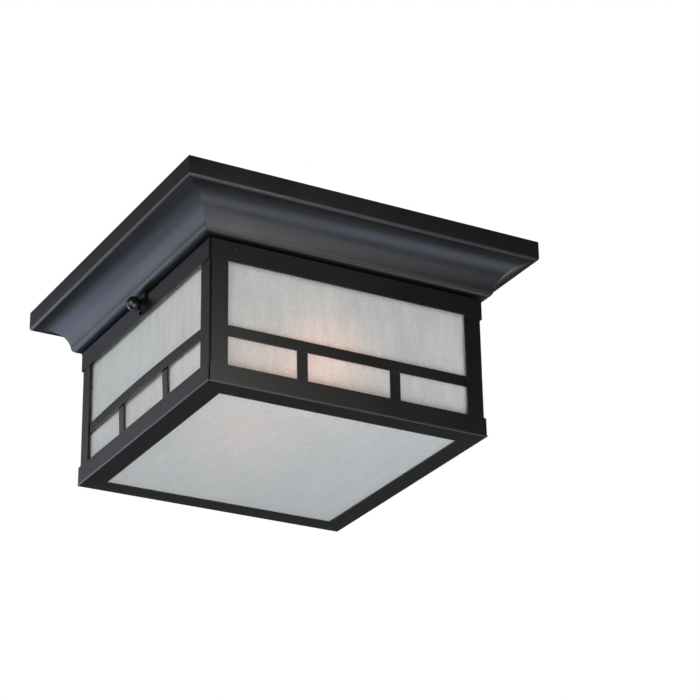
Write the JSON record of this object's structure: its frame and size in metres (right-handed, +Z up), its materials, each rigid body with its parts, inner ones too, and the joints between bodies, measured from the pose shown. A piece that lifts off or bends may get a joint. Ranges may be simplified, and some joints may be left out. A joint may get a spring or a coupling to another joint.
{
  "type": "flush mount ceiling light",
  "caption": "Square flush ceiling light: coved black metal pan against the ceiling, black strip cage with frosted glass panes below, lamps inside, cage held by side thumb screws.",
  "frame": {"origin": "on the ceiling plane, at the middle of the mounting bar and of the pan", "axes": "+Z up into the ceiling, -Y the front side, the thumb screws on the -X and +X sides"},
  "size_m": [0.3048, 0.3048, 0.1602],
  "materials": {
    "black_enamel": "satin black baked enamel on sheet steel",
    "linen_glass": "frosted linen-textured sheet glass",
    "zinc_steel": "zinc plated",
    "black_steel_nut": "black",
    "green_screw": "green dip",
    "porcelain": "white glaze",
    "brass": "drawn brass",
    "frosted_bulb": "inside-frosted bulb glass",
    "bulb_cap_metal": "rolled",
    "bulb_base_glass": "black glass insulator",
    "gasket_foam": "foam strip",
    "bushing_plastic": "moulded",
    "block_plastic": "moulded",
    "lead_black": "insulation",
    "lead_white": "insulation"
  },
  "bodies": {
    "canopy": {"bracket_rivets": "zinc_steel", "canopy_pan": "black_enamel", "cap_nuts": "black_steel_nut", "centre_contacts": "brass", "ground_screw": "green_screw", "hanger_tab_left": "black_enamel", "hanger_tab_right": "black_enamel", "lampholder_bracket_front": "zinc_steel", "lampholder_bracket_rear": "zinc_steel", "lampholder_front": "porcelain", "lampholder_rear": "porcelain", "lampholder_screws": "zinc_steel", "live_leads": "lead_black", "mounting_bar": "zinc_steel", "mounting_studs": "zinc_steel", "neutral_leads": "lead_white", "pan_gasket": "gasket_foam", "screw_shells": "brass", "stud_nuts": "zinc_steel", "terminal_block": "block_plastic", "terminal_screws": "zinc_steel", "wire_bushings": "bushing_plastic"},
    "cage": {"top_rail_front": "black_enamel", "top_rail_right": "black_enamel", "top_rail_back": "black_enamel", "top_rail_left": "black_enamel", "bottom_rail_front": "black_enamel", "bottom_rail_right": "black_enamel", "bottom_rail_back": "black_enamel", "bottom_rail_left": "black_enamel", "mid_bar_front": "black_enamel", "mid_bar_right": "black_enamel", "mid_bar_back": "black_enamel", "mid_bar_left": "black_enamel", "muntins_front": "black_enamel", "muntins_right": "black_enamel", "muntins_back": "black_enamel", "muntins_left": "black_enamel", "side_glass_front": "linen_glass", "side_glass_right": "linen_glass", "side_glass_back": "linen_glass", "side_glass_left": "linen_glass", "corner_post_front_left": "black_enamel", "corner_post_front_right": "black_enamel", "corner_post_back_right": "black_enamel", "corner_post_back_left": "black_enamel", "corner_angles": "black_enamel", "bottom_glass": "linen_glass", "glass_clips": "black_enamel", "weld_nuts": "zinc_steel"},
    "thumb_washer_left": {"thumb_washer_left": "black_enamel"},
    "thumb_screw_left": {"thumb_screw_left": "black_enamel"},
    "thumb_washer_right": {"thumb_washer_right": "black_enamel"},
    "thumb_screw_right": {"thumb_screw_right": "black_enamel"},
    "bulb_front": {"bulb_glass_front": "frosted_bulb", "bulb_cap_front": "bulb_cap_metal", "bulb_base_front": "bulb_base_glass"},
    "bulb_rear": {"bulb_glass_rear": "frosted_bulb", "bulb_cap_rear": "bulb_cap_metal", "bulb_base_rear": "bulb_base_glass"}
  },
  "joints": [
    {"name": "cage_drop", "type": "slide", "parent": "canopy", "child": "cage", "axis": [0, 0, -1], "range_m": [0, 0.13]},
    {"name": "thumb_washer_left_travel", "type": "slide", "parent": "cage", "child": "thumb_washer_left", "axis": [-1, 0, 0], "range_m": [0, 0.0028]},
    {"name": "thumb_screw_left_turn", "type": "hinge", "parent": "thumb_washer_left", "child": "thumb_screw_left", "pos_m": [-0.1261, 0, -0.04999], "axis": [-1, 0, 0], "range_deg": [0, 1440]},
    {"name": "thumb_washer_right_travel", "type": "slide", "parent": "cage", "child": "thumb_washer_right", "axis": [1, 0, 0], "range_m": [0, 0.0028]},
    {"name": "thumb_screw_right_turn", "type": "hinge", "parent": "thumb_washer_right", "child": "thumb_screw_right", "pos_m": [0.1261, 0, -0.04999], "axis": [1, 0, 0], "range_deg": [0, 1440]},
    {"name": "bulb_front_turn", "type": "hinge", "parent": "canopy", "child": "bulb_front", "pos_m": [0, -0.044, -0.08599], "axis": [-1, 0, 0], "range_deg": [0, 1260]},
    {"name": "bulb_rear_turn", "type": "hinge", "parent": "canopy", "child": "bulb_rear", "pos_m": [0, 0.044, -0.08599], "axis": [1, 0, 0], "range_deg": [0, 1260]}
  ],
  "couplings": [
    {"joint": "thumb_washer_left_travel", "follows": "thumb_screw_left_turn", "m_per_rad": 0.00011141},
    {"joint": "thumb_washer_right_travel", "follows": "thumb_screw_right_turn", "m_per_rad": 0.00011141}
  ]
}
